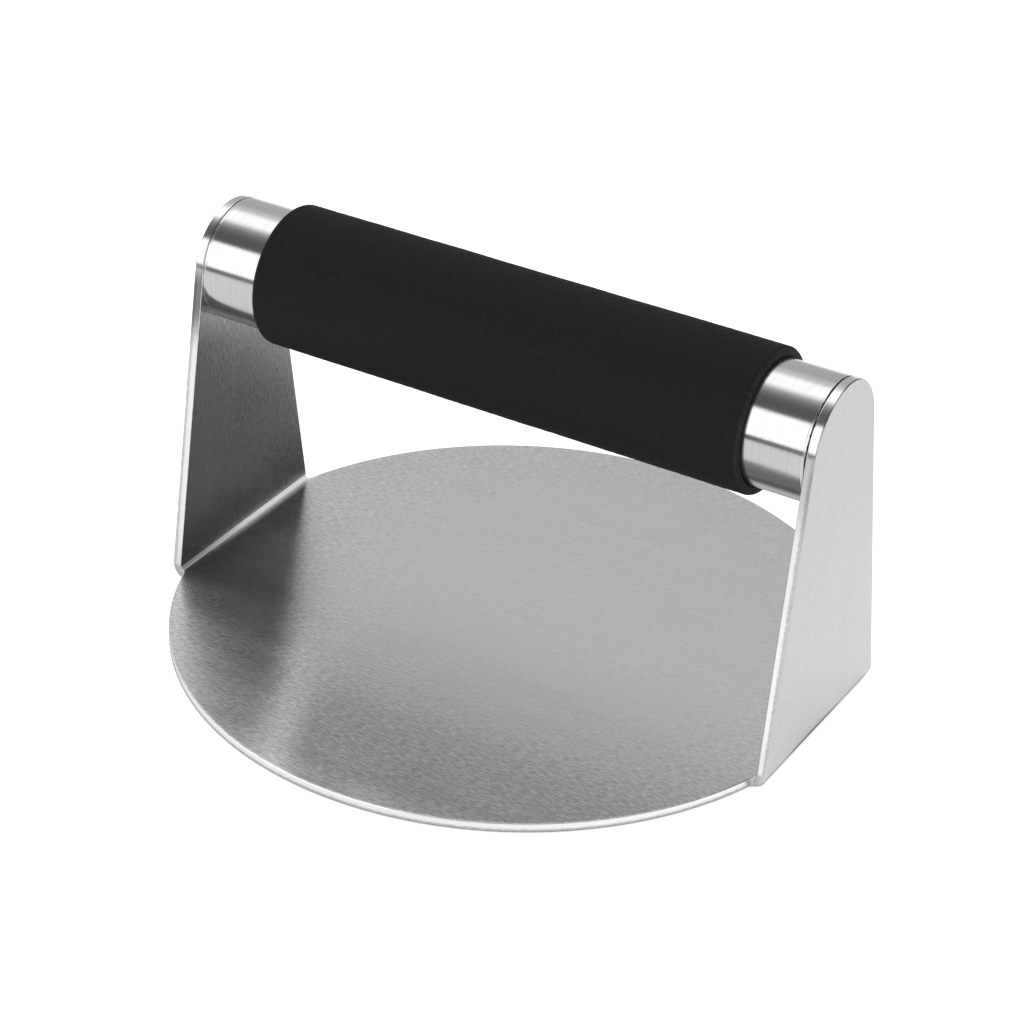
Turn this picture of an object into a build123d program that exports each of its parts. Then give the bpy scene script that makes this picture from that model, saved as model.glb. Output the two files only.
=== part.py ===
from build123d import *
import math
import os

# Round hand press for shaping minced-meat patties.
#
# One stainless sheet makes the round pressing plate and, folded up from it, a bracket at each
# side. A tube runs between the two brackets and is welded to their inner faces all the way
# round. A black rubber sleeve was pushed over the tube before the second end was welded.
#
# Millimetres. The origin is the centre of the plate's resting face, +Z is up, and the handle
# runs along X from the left bracket (-X) to the right one (+X).

# Driving dimensions: the folded sheet
plate_diameter = 140.0
sheet_thickness = 2.0
bracket_span = 138.0  # over the outer faces of the two brackets
bracket_base_width = 45.6
bracket_straight = 0.5  # height of the bracket's upright edges, from the fold to the taper
fold_inner_radius = 0.8
tab_corner_radius = 1.0  # where the plate's rim runs into a bracket's edge
edge_rounding = 0.3  # on every cut edge of the sheet

# Driving dimensions: the handle
handle_axis_height = 64.5
tube_diameter = 25.0
tube_wall = 1.2
weld_bevel = 0.7  # 45 degree preparation round each end of the tube
weld_relief = 0.2  # fine groove that is left between the ground weld and the bracket
sleeve_diameter = 29.0
sleeve_length = 108.0
sleeve_end_rounding = 0.9
sleeve_bore_chamfer = 0.3

# Worked out from the driving dimensions
plate_radius = plate_diameter / 2
tube_radius = tube_diameter / 2
bracket_outer_x = bracket_span / 2
bracket_inner_x = bracket_outer_x - sheet_thickness
bracket_half_width = bracket_base_width / 2
fold_outer_radius = fold_inner_radius + sheet_thickness
taper_start_height = fold_outer_radius + bracket_straight
press_height = handle_axis_height + tube_radius
tab_root_x = math.sqrt(plate_radius**2 - bracket_half_width**2)  # rim meets bracket edge


def folded_section():
    """The sheet's channel section, seen along Y, as a solid as wide as the plate."""
    outside = Rectangle(bracket_span, press_height, align=(Align.CENTER, Align.MIN))
    outside = fillet(outside.vertices().group_by(Axis.Y)[0], fold_outer_radius)
    inside = Rectangle(2 * bracket_inner_x, press_height, align=(Align.CENTER, Align.MIN))
    inside = Pos(0, sheet_thickness) * inside
    inside = fillet(inside.vertices().group_by(Axis.Y)[0], fold_inner_radius)
    return extrude(Plane.XZ * (outside - inside), plate_radius, both=True)


def plan_outline():
    """The outline seen from above, round plate and two tabs, as a solid of full height."""
    outline = Circle(plate_radius) + Rectangle(bracket_span, bracket_base_width)
    tab_roots = [v for v in outline.vertices() if abs(abs(v.X) - tab_root_x) < edge_rounding]
    outline = fillet(tab_roots, tab_corner_radius)
    return extrude(outline, press_height)


def side_outline():
    """The outline seen along X, full width at the plate and tapered above, as a solid."""
    axis_point = Vector(0, handle_axis_height)
    taper_foot = Vector(bracket_half_width, taper_start_height)
    # The tapered edge touches the round top where the top's radius is square to it.
    to_foot = taper_foot - axis_point
    foot_angle = math.degrees(math.atan2(to_foot.Y, to_foot.X))
    touch_angle = foot_angle + math.degrees(math.acos(tube_radius / to_foot.length))
    touch = axis_point + Vector(tube_radius, 0).rotate(Axis.Z, touch_angle)
    crown = Vector(0, press_height)
    with BuildSketch() as side:
        with BuildLine():
            Line(taper_foot, touch)
            ThreePointArc(touch, crown, (-touch.X, touch.Y))
            Line((-touch.X, touch.Y), (-taper_foot.X, taper_foot.Y))
            Line((-taper_foot.X, taper_foot.Y), taper_foot)
        make_face()
        Rectangle(plate_diameter, taper_start_height, align=(Align.CENTER, Align.MIN))
    return extrude(Plane.YZ * side.sketch, bracket_outer_x, both=True)


def press_body():
    """Plate and both brackets: one folded sheet with its cut edges rounded."""
    sheet = folded_section() & plan_outline() & side_outline()
    cut_edges = sheet.edges()
    # Edges along the axes are the fold lines and the corners across the sheet's thickness.
    for axis in (Axis.X, Axis.Y, Axis.Z):
        cut_edges = cut_edges.filter_by(axis, reverse=True)
    return fillet(cut_edges, edge_rounding)


def turned_on_handle_axis(section):
    """Revolve a face drawn in (x, radius) about the handle's axis."""
    return Pos(0, 0, handle_axis_height) * revolve(Plane.XZ * section, Axis.X)


def handle_tube():
    """Tube between the brackets, bevelled round the outside of both ends for the weld."""
    wall = Rectangle(2 * bracket_inner_x, tube_wall, align=(Align.CENTER, Align.MAX))
    wall = Pos(0, tube_radius) * wall
    wall = chamfer(wall.vertices().group_by(Axis.Y)[-1], weld_bevel)
    return turned_on_handle_axis(wall)


def weld_bead(side):
    """Weld metal in a tube end's bevel, ground flush; side is -1 for left, +1 for right."""
    corners = [
        (bracket_inner_x, tube_radius - weld_bevel),
        (bracket_inner_x, tube_radius - weld_relief),
        (bracket_inner_x - weld_relief, tube_radius),
        (bracket_inner_x - weld_bevel, tube_radius),
    ]
    section = make_face(Polyline(*[(side * x, radius) for x, radius in corners], close=True))
    return turned_on_handle_axis(section)


def grip_sleeve():
    """Rubber sleeve, tight on the tube and centred on it, with rounded end rims."""
    sleeve_wall = (sleeve_diameter - tube_diameter) / 2
    wall = Rectangle(sleeve_length, sleeve_wall, align=(Align.CENTER, Align.MIN))
    wall = Pos(0, tube_radius) * wall
    wall = fillet(wall.vertices().group_by(Axis.Y)[-1], sleeve_end_rounding)
    wall = chamfer(wall.vertices().group_by(Axis.Y)[0], sleeve_bore_chamfer)
    return turned_on_handle_axis(wall)


nodes = {
    "press_body": press_body(),
    "handle_tube": handle_tube(),
    "left_weld_bead": weld_bead(-1),
    "right_weld_bead": weld_bead(1),
    "grip_sleeve": grip_sleeve(),
}
os.makedirs("parts", exist_ok=True)
for name, solid in nodes.items():
    export_step(solid, f"parts/{name}.step")
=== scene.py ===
import bmesh
import bpy
import math
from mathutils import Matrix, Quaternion, Vector, noise


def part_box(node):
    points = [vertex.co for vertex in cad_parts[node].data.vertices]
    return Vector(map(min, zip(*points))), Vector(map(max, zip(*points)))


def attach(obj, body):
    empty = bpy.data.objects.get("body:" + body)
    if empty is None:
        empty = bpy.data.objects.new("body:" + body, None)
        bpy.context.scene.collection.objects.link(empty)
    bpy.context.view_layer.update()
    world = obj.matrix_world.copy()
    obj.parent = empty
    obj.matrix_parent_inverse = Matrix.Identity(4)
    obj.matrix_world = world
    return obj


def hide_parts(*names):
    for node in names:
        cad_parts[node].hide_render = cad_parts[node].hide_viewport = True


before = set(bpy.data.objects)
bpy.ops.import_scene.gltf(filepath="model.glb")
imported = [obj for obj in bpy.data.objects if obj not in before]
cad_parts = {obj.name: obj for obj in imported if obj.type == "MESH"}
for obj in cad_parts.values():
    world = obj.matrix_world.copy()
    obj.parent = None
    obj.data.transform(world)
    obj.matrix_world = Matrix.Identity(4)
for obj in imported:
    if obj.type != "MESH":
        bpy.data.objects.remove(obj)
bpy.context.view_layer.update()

MM = 0.001  # metres in a millimetre

# Places and sizes from the CAD parts in model.glb. The handle runs along X, with a bracket at each
# end of it, and the front is towards -Y.
body_low, body_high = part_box("press_body")
tube_low, tube_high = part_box("handle_tube")
sleeve_low, sleeve_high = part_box("grip_sleeve")
bead_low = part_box("right_weld_bead")[0]
plate_radius = body_high.y
outer_x = body_high.x
inner_x = tube_high.x
sheet_thickness = outer_x - inner_x
tube_radius = (tube_high.y - tube_low.y) / 2
handle_height = (tube_high.z + tube_low.z) / 2
sleeve_radius = (sleeve_high.y - sleeve_low.y) / 2
sleeve_half_length = sleeve_high.x
weld_bevel = inner_x - bead_low.x

# The folded sheet's details, as in the CAD model
BRACKET_HALF_WIDTH = 22.8 * MM
BRACKET_STRAIGHT = 0.5 * MM  # height of its upright edges, from the fold to the taper
FOLD_INNER_RADIUS = 0.8 * MM
TAB_CORNER_RADIUS = 1.0 * MM  # where the plate's rim runs into a bracket's edge
EDGE_ROUNDING = 0.3 * MM
fold_outer_radius = FOLD_INNER_RADIUS + sheet_thickness
fold_start = outer_x - fold_outer_radius
fold_length = fold_outer_radius * math.pi / 2  # along the outer face

# The tube, the welds and the rubber sleeve
TUBE_WALL = 1.2 * MM
WELD_RELIEF = 0.2 * MM  # groove between a weld and its bracket
SLEEVE_END_ROUNDING = 0.9 * MM
SLEEVE_BORE_CHAMFER = 0.3 * MM
LEATHER_CELL = 1.8 * MM
CREASE_DEPTH = 0.06 * MM

# Grain on the steel, and where its painted highlight and painted reflection lie
SMOOTH_CENTRE = Vector((0.15 * plate_radius, 0.2 * plate_radius, 0.0))  # where the grain is faintest
HALO = 2.4 * MM  # how far the fold's painted highlight fades out over the plate
REFLECTION_STREAK_POINT = Vector((-0.44 * plate_radius, -0.5 * plate_radius, 0.0))  # on the streak of painted reflection
REFLECTION_STREAK_NORMAL = Vector((0.874, 0.486, 0.0))
REFLECTION_STREAK_HALF_WIDTH = 7 * MM
REFLECTION_STREAK_LEVEL = 1.28  # times the plate's own colour

# The floor, and what the steel mirrors of it
FLOOR_HALF_SIZE = 900 * MM
FLOOR_GAP = 0.2 * MM  # so that a fine contact shadow shows under the rim
CONTACT_SHADOW = 0.8 * MM
FLOOR_END = 420 * MM  # in front, as far as the steel mirrors it
SHADOW_CENTRE = Vector((1.2 * body_low.x, 0.9 * plate_radius, 0.0))  # left of the press, behind
SHADOW_RADIUS = 1.45 * plate_radius


# ---------------------------------------------------------------- node helpers
def add_node(tree, kind, inputs=None, **settings):
    """A new node; inputs maps socket names or numbers to values or to other nodes' sockets."""
    made = tree.nodes.new(kind)
    for name, value in settings.items():
        setattr(made, name, value)
    for name, value in (inputs or {}).items():
        if isinstance(value, bpy.types.NodeSocket):
            tree.links.new(value, made.inputs[name])
        else:
            made.inputs[name].default_value = value
    return made


def maths(tree, operation, a, b=0.0):
    """The output of a Math node."""
    return add_node(tree, "ShaderNodeMath", {0: a, 1: b}, operation=operation).outputs[0]


def product(tree, first, *others):
    """All of these numbers multiplied together."""
    for other in others:
        first = maths(tree, "MULTIPLY", first, other)
    return first


def inverse(tree, value):
    """1 where value is 0, and 0 where it is 1."""
    return maths(tree, "SUBTRACT", 1.0, value)


def vector_maths(tree, operation, a, b=None):
    """The number that a Vector Math node such as LENGTH or DOT_PRODUCT gives."""
    inputs = {0: a} if b is None else {0: a, 1: b}
    return add_node(tree, "ShaderNodeVectorMath", inputs, operation=operation).outputs["Value"]


def vector(tree, x=0.0, y=0.0, z=0.0):
    """A vector as a socket."""
    return add_node(tree, "ShaderNodeCombineXYZ", {"X": x, "Y": y, "Z": z}).outputs[0]


def separate(tree, place):
    """The three components of a vector."""
    parts = add_node(tree, "ShaderNodeSeparateXYZ", {0: place})
    return [parts.outputs[axis] for axis in "XYZ"]


def object_place(tree):
    """Where the shaded point is, as a vector."""
    return add_node(tree, "ShaderNodeTexCoord").outputs["Object"]


def rise(tree, value, low, high):
    """Smoothly 0 to 1 as value goes from low to high; low may be the larger one."""
    made = add_node(
        tree,
        "ShaderNodeMapRange",
        {"Value": value, "From Min": low, "From Max": high},
        interpolation_type="SMOOTHSTEP",
    )
    return made.outputs["Result"]


def mix(tree, factor, first, second):
    """first where factor is 0, second where it is 1."""
    inputs = {"Factor": factor, "A": first, "B": second}
    return add_node(tree, "ShaderNodeMix", inputs, data_type="FLOAT").outputs["Result"]


def ramp(tree, factor, stops):
    """The grey output of a colour ramp whose stops are (position, level)."""
    made = add_node(tree, "ShaderNodeValToRGB", {"Fac": factor})
    elements = made.color_ramp.elements
    while len(elements) < len(stops):
        elements.new(0.5)
    for element, (position, level) in zip(elements, stops):
        element.position = position
        element.color = (level, level, level, 1)
    return made.outputs["Color"]


def stretched(tree, place, sizes):
    """place, measured along its three axes in these sizes."""
    scale = [1 / size for size in sizes]
    return add_node(tree, "ShaderNodeMapping", {"Vector": place, "Scale": scale}).outputs[0]


def stretched_noise(tree, place, sizes, detail=2.0):
    """Noise from 0 to 1 whose grains have these sizes along the three axes of place."""
    inputs = {"Vector": stretched(tree, place, sizes), "Scale": 1.0, "Detail": detail}
    return add_node(tree, "ShaderNodeTexNoise", inputs).outputs[0]


def even_noise(tree, place, size, detail=2.0):
    """Noise from 0 to 1 whose grains have this size in every direction."""
    return stretched_noise(tree, place, (size, size, size), detail)


def bump(tree, height, depth):
    """The normal of a relief that rises by depth as height goes from 0 to 1."""
    inputs = {"Height": height, "Strength": 1.0, "Distance": depth}
    return add_node(tree, "ShaderNodeBump", inputs).outputs[0]


def new_material(name):
    """An empty node material and its tree."""
    material = bpy.data.materials.new(name)
    material.use_nodes = True
    material.node_tree.nodes.clear()
    return material, material.node_tree


def finish_material(tree, shader):
    """Make this shader the material's surface."""
    add_node(tree, "ShaderNodeOutputMaterial", {"Surface": shader})


def metal(tree, colour, roughness, normal, tangent=None, anisotropy=0.0, metallic=1.0):
    """A metal whose highlights, if it has a tangent, are stretched along that."""
    inputs = {"Base Color": colour, "Metallic": metallic, "Roughness": roughness, "Normal": normal}
    if tangent is not None:
        inputs.update({"Tangent": tangent, "Anisotropic": anisotropy})
    return add_node(tree, "ShaderNodeBsdfPrincipled", inputs).outputs[0]


# ---------------------------------------------------------------- brushed sheet
class SheetPlace:
    """Where the shaded point is on the folded sheet, as sockets.

    side is its distance from the middle along the handle, and depth its distance in from the
    sheet's outer face. round_fold is more than 0 in a fold and 0 where the sheet is flat, and
    inner_side goes from 0 on the outer face to 1 on the inner one.
    """

    def __init__(self, tree):
        self.place = object_place(tree)
        self.across, self.back, self.height = separate(tree, self.place)
        self.side = maths(tree, "ABSOLUTE", self.across)
        past_start = maths(tree, "SUBTRACT", self.side, fold_start)
        past_start = maths(tree, "MAXIMUM", past_start, 0.0)
        below_top = maths(tree, "SUBTRACT", fold_outer_radius, self.height)
        below_top = maths(tree, "MAXIMUM", below_top, 0.0)
        radius = vector_maths(tree, "LENGTH", vector(tree, past_start, below_top))
        self.depth = maths(tree, "SUBTRACT", fold_outer_radius, radius)
        corner = product(tree, past_start, below_top)
        self.round_fold = maths(tree, "DIVIDE", corner, product(tree, radius, radius))
        self.inner_side = rise(tree, self.depth, 0.0, sheet_thickness)


def face_grain(tree, sheet):
    """Colour and roughness of the brushed faces, and their grain as a relief from 0 to 1."""
    # The sheet laid flat: the grain runs on round the fold.
    flat = vector(tree, maths(tree, "ADD", sheet.side, sheet.height), sheet.back)
    grain = stretched_noise(tree, flat, (1.6 * MM, 0.36 * MM, 1.0))
    lines = stretched_noise(tree, flat, (14 * MM, 0.30 * MM, 1.0), 1.0)
    broad = stretched_noise(tree, flat, (40 * MM, 5 * MM, 1.0))
    smudge = even_noise(tree, sheet.place, 18 * MM)

    # The grain is faintest in the middle of the plate and on the outer faces.
    from_middle = vector_maths(tree, "DISTANCE", sheet.place, SMOOTH_CENTRE)
    coarse = mix(tree, rise(tree, from_middle, 0.5 * plate_radius, plate_radius), 0.2, 0.85)
    coarse = product(tree, coarse, mix(tree, sheet.inner_side, 0.3, 1.0))

    # It lightens and darkens the steel, and its longest scratches shine.
    tone = mix(tree, coarse, 0.5, rise(tree, grain, 0.3, 0.7))
    scratches = product(tree, rise(tree, lines, 0.60, 0.78), 0.05)
    colour = maths(tree, "ADD", mix(tree, tone, 0.45, 0.69), scratches)
    smudges = product(tree, smudge, 0.055)
    roughness = maths(tree, "ADD", mix(tree, broad, 0.17, 0.245), smudges)
    return colour, roughness, product(tree, grain, coarse)


def bracket_wall_painted_light(tree, sheet):
    """Painted shade at the foot of a bracket's inner face and painted light higher up; 1 everywhere
    else.
    """
    foot_height = 3.5 * MM
    bright_height = 20 * MM
    level = mix(tree, rise(tree, sheet.height, foot_height, bright_height), 0.76, 1.26)
    above_plate = rise(tree, sheet.height, foot_height - MM, foot_height)
    return mix(tree, product(tree, above_plate, sheet.inner_side), 1.0, level)


def reflection_streak_level(tree, sheet):
    """A painted reflection: a lighter streak from near the plate's middle out to the front left; 1
    elsewhere.
    """
    along_normal = vector_maths(tree, "DOT_PRODUCT", sheet.place, REFLECTION_STREAK_NORMAL)
    from_streak = maths(tree, "SUBTRACT", along_normal, REFLECTION_STREAK_POINT.dot(REFLECTION_STREAK_NORMAL))
    streak = rise(tree, maths(tree, "ABSOLUTE", from_streak), REFLECTION_STREAK_HALF_WIDTH, 0.0)
    starts_at = -0.25 * plate_radius
    full_from = -0.58 * plate_radius
    to_front = rise(tree, sheet.back, starts_at, full_from)
    return mix(tree, product(tree, streak, to_front), 1.0, REFLECTION_STREAK_LEVEL)


def fold_painted_highlight(tree, sheet):
    """Share of the painted highlight, a matte whitish band inside each fold.

    It fades out over the plate and is strongest towards the back.
    """
    to_back = rise(tree, sheet.back, -0.3 * plate_radius, 0.1 * plate_radius)
    bend = rise(tree, sheet.round_fold, 0.01, 0.2)
    bend = product(tree, bend, mix(tree, to_back, 0.3, 1.0))
    halo = rise(tree, sheet.side, fold_start - HALO, fold_start + 0.3 * HALO)
    on_plate = rise(tree, sheet.height, 3 * MM, 2 * MM)
    halo = product(tree, maths(tree, "POWER", halo, 2.0), to_back, on_plate)
    return product(tree, maths(tree, "MAXIMUM", bend, halo), sheet.inner_side)


def cut_edge(tree, sheet):
    """Share of the cut edge, with its colour and roughness."""
    from_inner = maths(tree, "SUBTRACT", sheet_thickness, sheet.depth)
    cut = rise(tree, maths(tree, "MINIMUM", sheet.depth, from_inner), 0.06 * MM, 0.16 * MM)

    # A bright sheared band inside and a greyer torn band outside; round a fold the whole edge is
    # greyer, which is painted shade.
    specks = even_noise(tree, sheet.place, 0.6 * MM)
    ragged_depth = maths(tree, "ADD", sheet.depth, product(tree, specks, 0.5 * MM))
    sheared = rise(tree, ragged_depth, 0.40 * sheet_thickness, 0.65 * sheet_thickness)
    past_plate = rise(tree, sheet.side, fold_start - MM, fold_start)
    fold_root_shade = product(tree, past_plate, rise(tree, sheet.height, 3.5 * MM, 2.5 * MM))
    sheared = product(tree, sheared, inverse(tree, fold_root_shade))
    colour = mix(tree, sheared, mix(tree, specks, 0.42, 0.72), 0.88)
    roughness = mix(tree, sheared, 0.45, 0.20)

    # Painted shade just below the crown, darkest on the left
    crown_flank_shade_from = handle_height - 1.25 * tube_radius
    crown_flank_shade = rise(tree, sheet.height, crown_flank_shade_from, handle_height - 0.45 * tube_radius)
    to_left = rise(tree, sheet.across, plate_radius, -plate_radius)
    colour = product(tree, colour, mix(tree, crown_flank_shade, 1.0, mix(tree, to_left, 0.7, 0.27)))

    # The crown over the tube is polished.
    crown_from = handle_height - 0.1 * tube_radius
    crown = rise(tree, sheet.height, crown_from, handle_height + 0.3 * tube_radius)
    return cut, mix(tree, crown, colour, 0.62), mix(tree, crown, roughness, 0.16)


def brushed_steel():
    """Stainless sheet with its grain along the handle on the plate and upright on the brackets."""
    material, tree = new_material("brushed_sheet")
    sheet = SheetPlace(tree)
    colour, roughness, relief = face_grain(tree, sheet)
    # Painted shade and light on the brackets' inner faces, and a painted reflection streak on the
    # plate
    colour = product(tree, colour, bracket_wall_painted_light(tree, sheet), reflection_streak_level(tree, sheet))
    # The fold's painted highlight: white and not metallic, so that it lights up as a matte band
    matte = fold_painted_highlight(tree, sheet)
    colour = mix(tree, matte, colour, 1.0)
    roughness = mix(tree, matte, roughness, 0.5)
    cut, cut_colour, cut_roughness = cut_edge(tree, sheet)
    whole = inverse(tree, cut)
    shader = metal(
        tree,
        mix(tree, cut, colour, cut_colour),
        mix(tree, cut, roughness, cut_roughness),
        bump(tree, product(tree, relief, whole), 0.024 * MM),
        tangent=vector(tree, y=1.0),
        anisotropy=product(tree, whole, 0.9),
        metallic=inverse(tree, product(tree, matte, whole)),
    )
    finish_material(tree, shader)
    return material


# ---------------------------------------------------------------- tube, weld and rubber
def satin_tube():
    """Stainless tube polished round its girth, so that highlights spread along it."""
    material, tree = new_material("satin_tube")
    place = object_place(tree)
    height = separate(tree, place)[2]
    rings = stretched_noise(tree, place, (0.30 * MM, 8 * MM, 8 * MM))
    specks = even_noise(tree, place, 0.5 * MM)
    broad = stretched_noise(tree, place, (6 * MM, 12 * MM, 12 * MM))
    # The underside is rougher, and painted shade makes it darker.
    under_from = handle_height - 0.35 * tube_radius
    under = rise(tree, height, under_from, handle_height - 0.85 * tube_radius)
    colour = maths(tree, "ADD", mix(tree, rings, 0.49, 0.61), product(tree, specks, 0.06))
    colour = product(tree, colour, mix(tree, under, 1.0, 0.6))
    roughness = mix(tree, under, mix(tree, broad, 0.13, 0.20), 0.24)
    normal = bump(tree, maths(tree, "ADD", rings, specks), 0.004 * MM)
    shader = metal(tree, colour, roughness, normal, tangent=vector(tree, x=1.0), anisotropy=0.7)
    finish_material(tree, shader)
    return material


def weld_steel():
    """Ground weld metal with a broken dark line of painted shade in the groove against the bracket.
    """
    material, tree = new_material("weld_metal")
    place = object_place(tree)
    across, _, height = separate(tree, place)
    side = maths(tree, "ABSOLUTE", across)
    to_groove = maths(tree, "ABSOLUTE", maths(tree, "SUBTRACT", side, inner_x))
    ripple = even_noise(tree, place, 0.9 * MM)
    ragged = maths(tree, "ADD", to_groove, product(tree, ripple, 0.5 * MM))
    unshaded = rise(tree, ragged, 0.38 * MM, 0.52 * MM)

    # The painted shade in the right weld's groove runs all round. In the left weld's groove it is
    # only at the top.
    to_right = rise(tree, across, -outer_x, outer_x)
    unshaded_up_to = mix(tree, to_right, handle_height + 0.62 * tube_radius, body_low.z)
    below = rise(tree, maths(tree, "SUBTRACT", height, unshaded_up_to), 0.6 * MM, -0.6 * MM)
    unshaded = maths(tree, "MAXIMUM", unshaded, below)

    # Near black in the groove: painted shade
    colour = mix(tree, unshaded, 0.03, mix(tree, ripple, 0.52, 0.68))
    roughness = mix(tree, unshaded, 0.6, 0.2)
    finish_material(tree, metal(tree, colour, roughness, bump(tree, ripple, 0.01 * MM)))
    return material


def black_rubber():
    """Matte near-black rubber with a fine leather grain, and a speckled painted highlight along its
    end rims.
    """
    material, tree = new_material("black_rubber")
    place = object_place(tree)
    across = separate(tree, place)[0]
    cells = stretched(tree, place, (1.1 * MM, 0.6 * MM, 0.6 * MM))
    edges = add_node(
        tree, "ShaderNodeTexVoronoi", {"Vector": cells, "Scale": 1.0}, feature="DISTANCE_TO_EDGE"
    ).outputs["Distance"]
    scale = rise(tree, edges, 0.0, 0.4)
    grain = even_noise(tree, place, 0.35 * MM, 3.0)
    patches = even_noise(tree, place, 12 * MM)
    to_end = maths(tree, "SUBTRACT", sleeve_half_length, maths(tree, "ABSOLUTE", across))
    # Painted highlight along the end rims
    at_rim = rise(tree, to_end, 0.8 * SLEEVE_END_ROUNDING, 0.0)
    rim_highlight = product(tree, at_rim, rise(tree, grain, 0.35, 0.6))
    colour = mix(tree, scale, 0.008, mix(tree, patches, 0.010, 0.014))
    relief = maths(tree, "ADD", scale, product(tree, grain, 0.4))
    inputs = {
        "Base Color": mix(tree, rim_highlight, colour, 0.03),
        "Roughness": mix(tree, grain, 0.62, 0.82),
        "Specular IOR Level": 0.12,
        "Normal": bump(tree, relief, 0.035 * MM),
    }
    finish_material(tree, add_node(tree, "ShaderNodeBsdfPrincipled", inputs).outputs[0])
    return material


# ---------------------------------------------------------------- pieces
SUPPORT = 0.08 * MM  # strip of flat mesh beside each rounded edge, which keeps its shading flat
SHARP_ANGLE = math.radians(40)  # an edge of a turned piece that bends more than this looks sharp


def new_piece(name, mesh_maker, material, node, sharp_angle=None):
    """Finish a mesh as a piece that stands for a CAD node."""
    bmesh.ops.recalc_face_normals(mesh_maker, faces=mesh_maker.faces)
    mesh = bpy.data.meshes.new(name)
    mesh_maker.to_mesh(mesh)
    mesh_maker.free()
    mesh.shade_smooth()
    if sharp_angle is not None:
        mesh.set_sharp_from_angle(angle=sharp_angle)
    mesh.materials.append(material)
    piece = bpy.data.objects.new(name, mesh)
    bpy.context.scene.collection.objects.link(piece)
    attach(piece, "root")
    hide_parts(node)


def turned(angle):
    """The direction at this angle in the plane."""
    return Vector((math.cos(angle), math.sin(angle)))


def spread(first, last, steps):
    """steps + 1 evenly spaced values from first to last."""
    return [first + (last - first) * step / steps for step in range(steps + 1)]


def folded(u, y, depth):
    """Where a point of the flat sheet goes: u along the handle, depth in from the outer face."""
    side = math.copysign(1, u)
    past_fold_start = abs(u) - fold_start
    if past_fold_start <= 0:
        return Vector((u, y, depth))
    if past_fold_start < fold_length:
        angle = past_fold_start / fold_outer_radius
        radius = fold_outer_radius - depth
        x = fold_start + radius * math.sin(angle)
        return Vector((side * x, y, fold_outer_radius - radius * math.cos(angle)))
    return Vector((side * (outer_x - depth), y, fold_outer_radius + past_fold_start - fold_length))


def quarter_outline():
    """The flat sheet's outline from the plate's rear point to the right bracket's crown.

    Three lists, for the plate, the strip round the fold and the bracket, of (point, inward
    direction). Each list starts with the last point of the one before it.
    """
    rim_steps = 100
    corner_steps = 4
    fold_steps = 16
    crown_steps = 40
    corner_y = BRACKET_HALF_WIDTH + TAB_CORNER_RADIUS
    corner_reach = plate_radius + TAB_CORNER_RADIUS
    corner_angle = math.asin(corner_y / corner_reach)
    corner = corner_reach * turned(corner_angle)
    rim_angles = spread(math.pi / 2, corner_angle, rim_steps)
    plate = [(plate_radius * turned(angle), -turned(angle)) for angle in rim_angles]

    # The tab's inner corner, as far as the fold, and then the fold itself
    fold_meets_corner = 2 * math.pi - math.acos((fold_start - corner.x) / TAB_CORNER_RADIUS)
    strip = [plate[-1]]
    for angle in spread(math.pi + corner_angle, fold_meets_corner, corner_steps)[1:-1]:
        strip.append((corner + TAB_CORNER_RADIUS * turned(angle), turned(angle)))
    inward = Vector((0, -1))
    for u in spread(fold_start, fold_start + fold_length, fold_steps):
        y = BRACKET_HALF_WIDTH
        if u < corner.x:
            y = corner.y - math.sqrt(TAB_CORNER_RADIUS**2 - (corner.x - u) ** 2)
        strip.append((Vector((u, y)), inward))
    straight_end = fold_start + fold_length + BRACKET_STRAIGHT
    strip.append((Vector((straight_end, BRACKET_HALF_WIDTH)), inward))

    # The tapered edge, which runs into the round crown
    bracket = [strip[-1]]
    axis = Vector((straight_end + handle_height - fold_outer_radius - BRACKET_STRAIGHT, 0))
    to_foot = strip[-1][0] - axis
    foot_angle = math.atan2(to_foot.y, to_foot.x)
    touch_angle = foot_angle - math.acos(tube_radius / to_foot.length)
    for angle in spread(touch_angle, 0, crown_steps):
        bracket.append((axis + tube_radius * turned(angle), -turned(angle)))
    return plate, strip, bracket


def edge_section():
    """(inset, depth) round the sheet's cut edge, from the outer face to the inner one."""
    corner = []
    for angle in spread(0, math.pi / 2, 5):
        inset = EDGE_ROUNDING * (1 - math.sin(angle))
        corner.append((inset, EDGE_ROUNDING * (1 - math.cos(angle))))
    outer = [(EDGE_ROUNDING + SUPPORT, 0.0), *corner, (0.0, EDGE_ROUNDING + SUPPORT)]
    return outer + [(inset, sheet_thickness - depth) for inset, depth in reversed(outer)]


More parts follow.
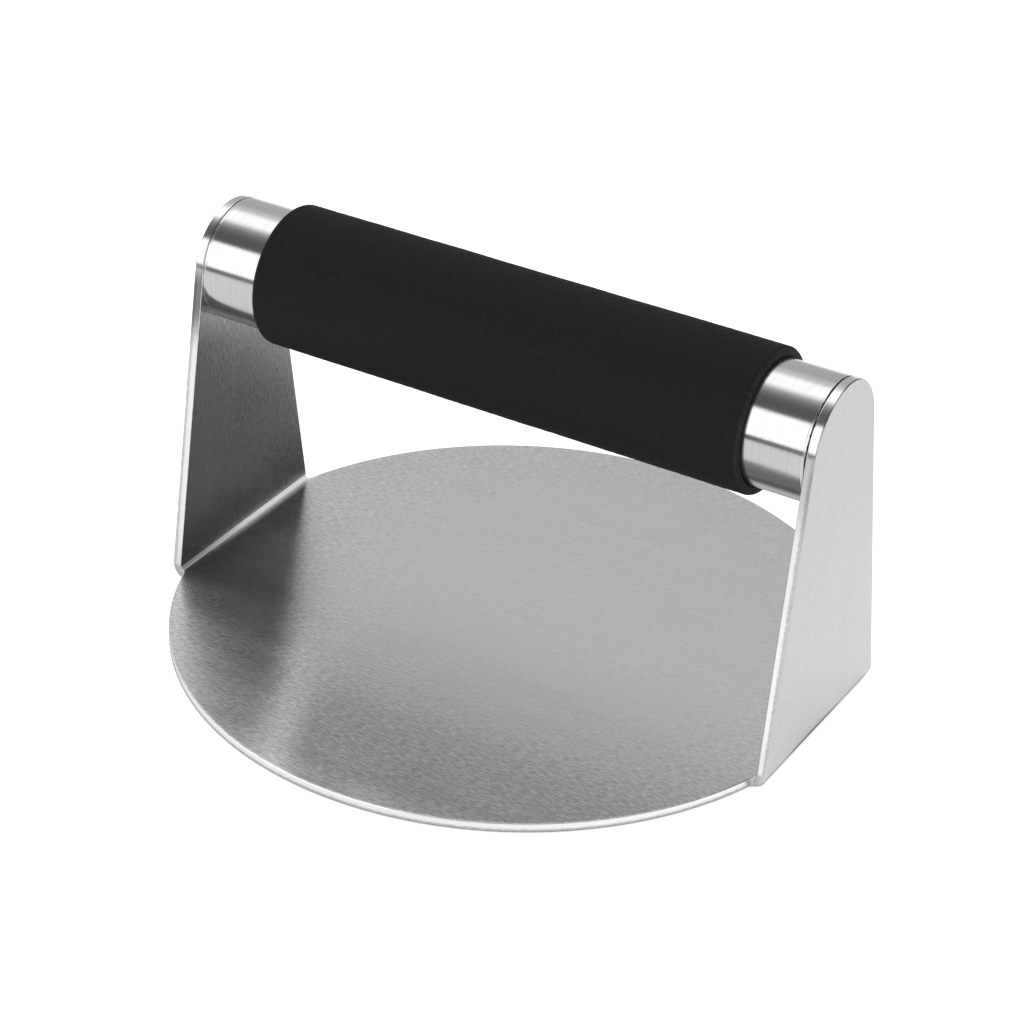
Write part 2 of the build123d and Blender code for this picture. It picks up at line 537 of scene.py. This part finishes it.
def press_body(material):
    """Round plate and both brackets as one folded sheet with rounded cut edges."""
    mesh_maker = bmesh.new()
    section = edge_section()
    plate, strip, bracket = quarter_outline()

    def column(point, inward, u_side, y_side):
        """The cut edge's vertices at one point of the outline."""
        made = []
        for inset, depth in section:
            place = point + inset * inward
            made.append(mesh_maker.verts.new(folded(u_side * place.x, y_side * place.y, depth)))
        return made

    # Columns per quarter; the points on an axis belong to two quarters and are made once.
    quarters = {}
    for u_side in (1, -1):
        for y_side in (1, -1):
            plate_columns = [column(*place, u_side, y_side) for place in plate[1:]]
            strip_columns = [column(*place, u_side, y_side) for place in strip[1:]]
            bracket_columns = [column(*place, u_side, y_side) for place in bracket[1:-1]]
            quarters[u_side, y_side] = (
                plate_columns,
                plate_columns[-1:] + strip_columns,
                strip_columns[-1:] + bracket_columns,
            )
    ends = {y_side: column(*plate[0], 1, y_side) for y_side in (1, -1)}
    crowns = {u_side: column(*bracket[-1], u_side, 1) for u_side in (1, -1)}

    # The cut edge all the way round
    for (u_side, y_side), (plate_columns, strip_columns, bracket_columns) in quarters.items():
        edge = [ends[y_side], *plate_columns, *strip_columns[1:]]
        edge += [*bracket_columns[1:], crowns[u_side]]
        for first, second in zip(edge, edge[1:]):
            for step in range(len(section) - 1):
                mesh_maker.faces.new((first[step], second[step], second[step + 1], first[step + 1]))

    # The outer face (0) and the inner one (-1)
    for face in (0, -1):
        rim = [ends[1], *quarters[1, 1][0], *quarters[1, -1][0][::-1], ends[-1]]
        rim += [*quarters[-1, -1][0], *quarters[-1, 1][0][::-1]]
        mesh_maker.faces.new([made[face] for made in rim])
        for u_side in (1, -1):
            rear_strip, rear_bracket = quarters[u_side, 1][1:]
            front_strip, front_bracket = quarters[u_side, -1][1:]
            rear = [made[face] for made in rear_strip]
            front = [made[face] for made in front_strip]
            for step in range(len(rear) - 1):
                mesh_maker.faces.new((rear[step], rear[step + 1], front[step + 1], front[step]))
            upright = [*rear_bracket, crowns[u_side], *front_bracket[::-1]]
            mesh_maker.faces.new([made[face] for made in upright])
    new_piece("steel_plate_and_brackets", mesh_maker, material, "press_body")


def turned_piece(name, section, steps_around, material, node, relief=None):
    """A closed section of (x, radius, share of relief), turned about the handle's axis."""
    mesh_maker = bmesh.new()
    rings = []
    for x, radius, share in section:
        ring = []
        for step in range(steps_around):
            angle = 2 * math.pi * step / steps_around
            outwards = Vector((0, math.sin(angle), math.cos(angle)))
            point = Vector((x, 0, 0)) + radius * outwards
            if relief and share:
                point += share * relief(point) * outwards
            ring.append(mesh_maker.verts.new(point + Vector((0, 0, handle_height))))
        rings.append(ring)
    for ring, following in zip(rings, rings[1:] + rings[:1]):
        for step in range(steps_around):
            after = (step + 1) % steps_around
            mesh_maker.faces.new((ring[step], following[step], following[after], ring[after]))
    new_piece(name, mesh_maker, material, node, SHARP_ANGLE)


def handle_tube(material):
    """Tube between the brackets, bevelled round both ends for the welds."""
    half = [
        (inner_x, tube_radius - TUBE_WALL, 0),
        (inner_x, tube_radius - weld_bevel, 0),
        (inner_x - weld_bevel, tube_radius, 0),
        (sleeve_half_length, tube_radius, 0),
    ]
    section = [(-x, radius, share) for x, radius, share in half] + half[::-1]
    turned_piece("steel_tube", section, 180, material, "handle_tube")


def weld_ripple(point):
    """The weld's ground surface: shallow waves, never above the nominal surface."""
    wave_length = 1.4 * MM
    wave_height = 0.06 * MM
    return wave_height * (noise.noise(point / wave_length) - 1) / 2


def weld_bead(side, material, name, node):
    """Weld metal in a tube end's bevel, ground nearly flush; side is -1 for left, +1 for right."""
    foot = inner_x - weld_bevel
    section = [(inner_x, tube_radius - weld_bevel, 0), (inner_x, tube_radius - WELD_RELIEF, 0)]
    for x in spread(inner_x - WELD_RELIEF, foot, 4)[:-1]:
        section.append((x, tube_radius, 1))
    section.append((foot, tube_radius, 0))
    section = [(side * x, radius, share) for x, radius, share in section]
    turned_piece(name, section, 240, material, node, weld_ripple)


def leather_relief(point):
    """How far the rubber's moulded surface stands off its nominal one, in metres."""
    crease_width = 0.35  # in cells
    swell_length = 9 * MM
    swell_height = 0.05 * MM
    nearest, next_nearest = noise.voronoi(point / LEATHER_CELL)[0][:2]
    cell = min(1.0, (next_nearest - nearest) / crease_width)
    crease = (1 - cell) ** 2
    return -CREASE_DEPTH * crease + swell_height * (noise.noise(point / swell_length) - 0.5)


def rubber_grip(material):
    """Rubber sleeve on the tube, with a real leather-like relief outside."""
    shoulder = sleeve_half_length - SLEEVE_END_ROUNDING
    rounding_steps = 5
    half = [
        (sleeve_half_length - SLEEVE_BORE_CHAMFER, tube_radius, 0.0),
        (sleeve_half_length, tube_radius + SLEEVE_BORE_CHAMFER, 0.0),
    ]
    for step in range(rounding_steps):
        angle = step / rounding_steps * math.pi / 2
        x = shoulder + SLEEVE_END_ROUNDING * math.cos(angle)
        radius = sleeve_radius - SLEEVE_END_ROUNDING * (1 - math.sin(angle))
        half.append((x, radius, step / rounding_steps))
    left = [(-x, radius, share) for x, radius, share in half]
    outside = [(x, sleeve_radius, 1.0) for x in spread(-shoulder, shoulder, 310)]
    section = left + outside + half[::-1]
    turned_piece("rubber_grip", section, 300, material, "grip_sleeve", leather_relief)


# ---------------------------------------------------------------- studio
# What mirrored rays see, as (turn, level): the turn goes from the back horizon at 0, over the
# top, to the front horizon at 0.5.
STUDIO_BANDS = [
    (0.0, 0.58),
    (0.10, 0.60),
    (0.15, 1.0),
    (0.167, 1.7),  # soft box overhead
    (0.228, 1.7),
    (0.255, 0.55),
    (0.28, 0.25),
    (0.31, 0.14),  # dark gap between the two boxes
    (0.36, 0.13),
    (0.375, 1.8),  # front soft box
    (0.50, 1.8),
    (0.502, 0.12),  # below the horizon
    (0.60, 0.12),
    (0.90, 0.58),
]


def studio_world():
    """White studio, in which mirrored rays see soft boxes and dark cards instead."""
    world = bpy.data.worlds.new("studio")
    world.use_nodes = True
    tree = world.node_tree
    tree.nodes.clear()
    ray = add_node(tree, "ShaderNodeTexCoord").outputs["Generated"]
    across, back, height = separate(tree, ray)
    turn = maths(tree, "DIVIDE", maths(tree, "ARCTAN2", height, back), 2 * math.pi)
    bands = ramp(tree, maths(tree, "FRACT", turn), STUDIO_BANDS)

    # The front soft box gets weaker towards the right.
    fading = product(tree, rise(tree, across, -0.25, 0.1), rise(tree, back, 0.1, -0.3))
    bands = product(tree, bands, mix(tree, fading, 1.0, 0.45))

    # A dark card stands behind the press on the right, below the height of the soft boxes.
    behind = product(tree, rise(tree, across, -0.15, 0.1), rise(tree, back, -0.2, 0.1))
    card = product(tree, behind, rise(tree, height, 0.84, 0.70))
    level = mix(tree, card, bands, 0.07)

    mirrored = add_node(tree, "ShaderNodeBackground", {"Color": level}).outputs[0]
    plain = add_node(tree, "ShaderNodeBackground", {"Color": (1, 1, 1, 1)}).outputs[0]
    is_mirrored = add_node(tree, "ShaderNodeLightPath").outputs["Is Glossy Ray"]
    inputs = {0: is_mirrored, 1: plain, 2: mirrored}
    surface = add_node(tree, "ShaderNodeMixShader", inputs).outputs[0]
    add_node(tree, "ShaderNodeOutputWorld", {"Surface": surface})
    bpy.context.scene.world = world


def mirrored_floor_level(tree):
    """How light the floor looks in the steel, from 0 to a little over 1."""
    place = object_place(tree)
    across, back, _ = separate(tree, place)

    # A soft shadow to the left of the press and behind it
    from_shadow = vector_maths(tree, "DISTANCE", place, SHADOW_CENTRE)
    outside = rise(tree, from_shadow, 0.55 * SHADOW_RADIUS, 1.1 * SHADOW_RADIUS)
    shade = mix(tree, outside, 0.42, 1.0)

    # The gap under the rim and the brackets: dark out to CONTACT_SHADOW from the press
    from_plate = maths(tree, "SUBTRACT", vector_maths(tree, "LENGTH", place), plate_radius)
    from_tab_end = maths(tree, "SUBTRACT", maths(tree, "ABSOLUTE", across), outer_x)
    from_tab_side = maths(tree, "SUBTRACT", maths(tree, "ABSOLUTE", back), BRACKET_HALF_WIDTH)
    from_tab = maths(tree, "MAXIMUM", from_tab_end, from_tab_side)
    from_press = maths(tree, "MINIMUM", from_plate, from_tab)
    contact = mix(tree, rise(tree, from_press, 0.0, CONTACT_SHADOW), 0.1, 1.0)

    # Lighter on the right, most of all near the press
    to_right = rise(tree, across, 0.0, 1.2 * outer_x)
    right_level = mix(tree, rise(tree, across, outer_x, 1.75 * outer_x), 1.2, 1.08)
    right_level = mix(tree, to_right, 1.0, right_level)

    # Dark past the floor's front end
    in_reach = rise(tree, back, -FLOOR_END, -0.95 * FLOOR_END)
    return product(tree, shade, right_level, mix(tree, in_reach, 0.2, 1.0), contact)


def pale_floor():
    """Matte pale floor that glows a little, so that it looks white, but less so in the steel."""
    material, tree = new_material("pale_floor")
    is_mirrored = add_node(tree, "ShaderNodeLightPath").outputs["Is Glossy Ray"]
    light = mix(tree, is_mirrored, 1.0, mirrored_floor_level(tree))
    matte_colour = product(tree, light, mix(tree, is_mirrored, 0.85, 0.5))
    matte = add_node(tree, "ShaderNodeBsdfDiffuse", {"Color": matte_colour}).outputs[0]
    strength = product(tree, light, mix(tree, is_mirrored, 0.6, 0.5))
    inputs = {"Color": (1, 1, 1, 1), "Strength": strength}
    glow = add_node(tree, "ShaderNodeEmission", inputs).outputs[0]
    finish_material(tree, add_node(tree, "ShaderNodeAddShader", {0: matte, 1: glow}).outputs[0])
    return material


def floor():
    """A wide pale floor that the press stands on."""
    mesh = bpy.data.meshes.new("floor")
    grid = bmesh.new()
    bmesh.ops.create_grid(grid, x_segments=1, y_segments=1, size=FLOOR_HALF_SIZE)
    grid.to_mesh(mesh)
    grid.free()
    made = bpy.data.objects.new("floor", mesh)
    made.location.z = body_low.z - FLOOR_GAP
    mesh.materials.append(pale_floor())
    bpy.context.scene.collection.objects.link(made)


def camera():
    """Three-quarter view from the front right, a little above, with a long lens."""
    azimuth = math.radians(30.51)
    elevation = math.radians(31.12)
    roll = math.radians(1.60)
    distance = 634.6 * MM
    target = Vector((-1.6, 0.3, 26.2)) * MM
    level_back = Vector((math.sin(azimuth), -math.cos(azimuth), 0))
    back = math.cos(elevation) * level_back + Vector((0, 0, math.sin(elevation)))
    data = bpy.data.cameras.new("camera")
    data.sensor_width = 36.0
    data.lens = 111.9
    data.clip_start = 0.01
    data.clip_end = 20.0
    made = bpy.data.objects.new("camera", data)
    made.rotation_mode = "QUATERNION"
    made.location = target + back * distance
    level = (-back).to_track_quat("-Z", "Y")
    made.rotation_quaternion = level @ Quaternion((0, 0, 1), roll)
    bpy.context.scene.collection.objects.link(made)
    bpy.context.scene.camera = made


press_body(brushed_steel())
handle_tube(satin_tube())
weld_metal = weld_steel()
weld_bead(-1, weld_metal, "left_weld", "left_weld_bead")
weld_bead(1, weld_metal, "right_weld", "right_weld_bead")
rubber_grip(black_rubber())
studio_world()
floor()
camera()
bpy.context.scene.view_settings.view_transform = "Standard"
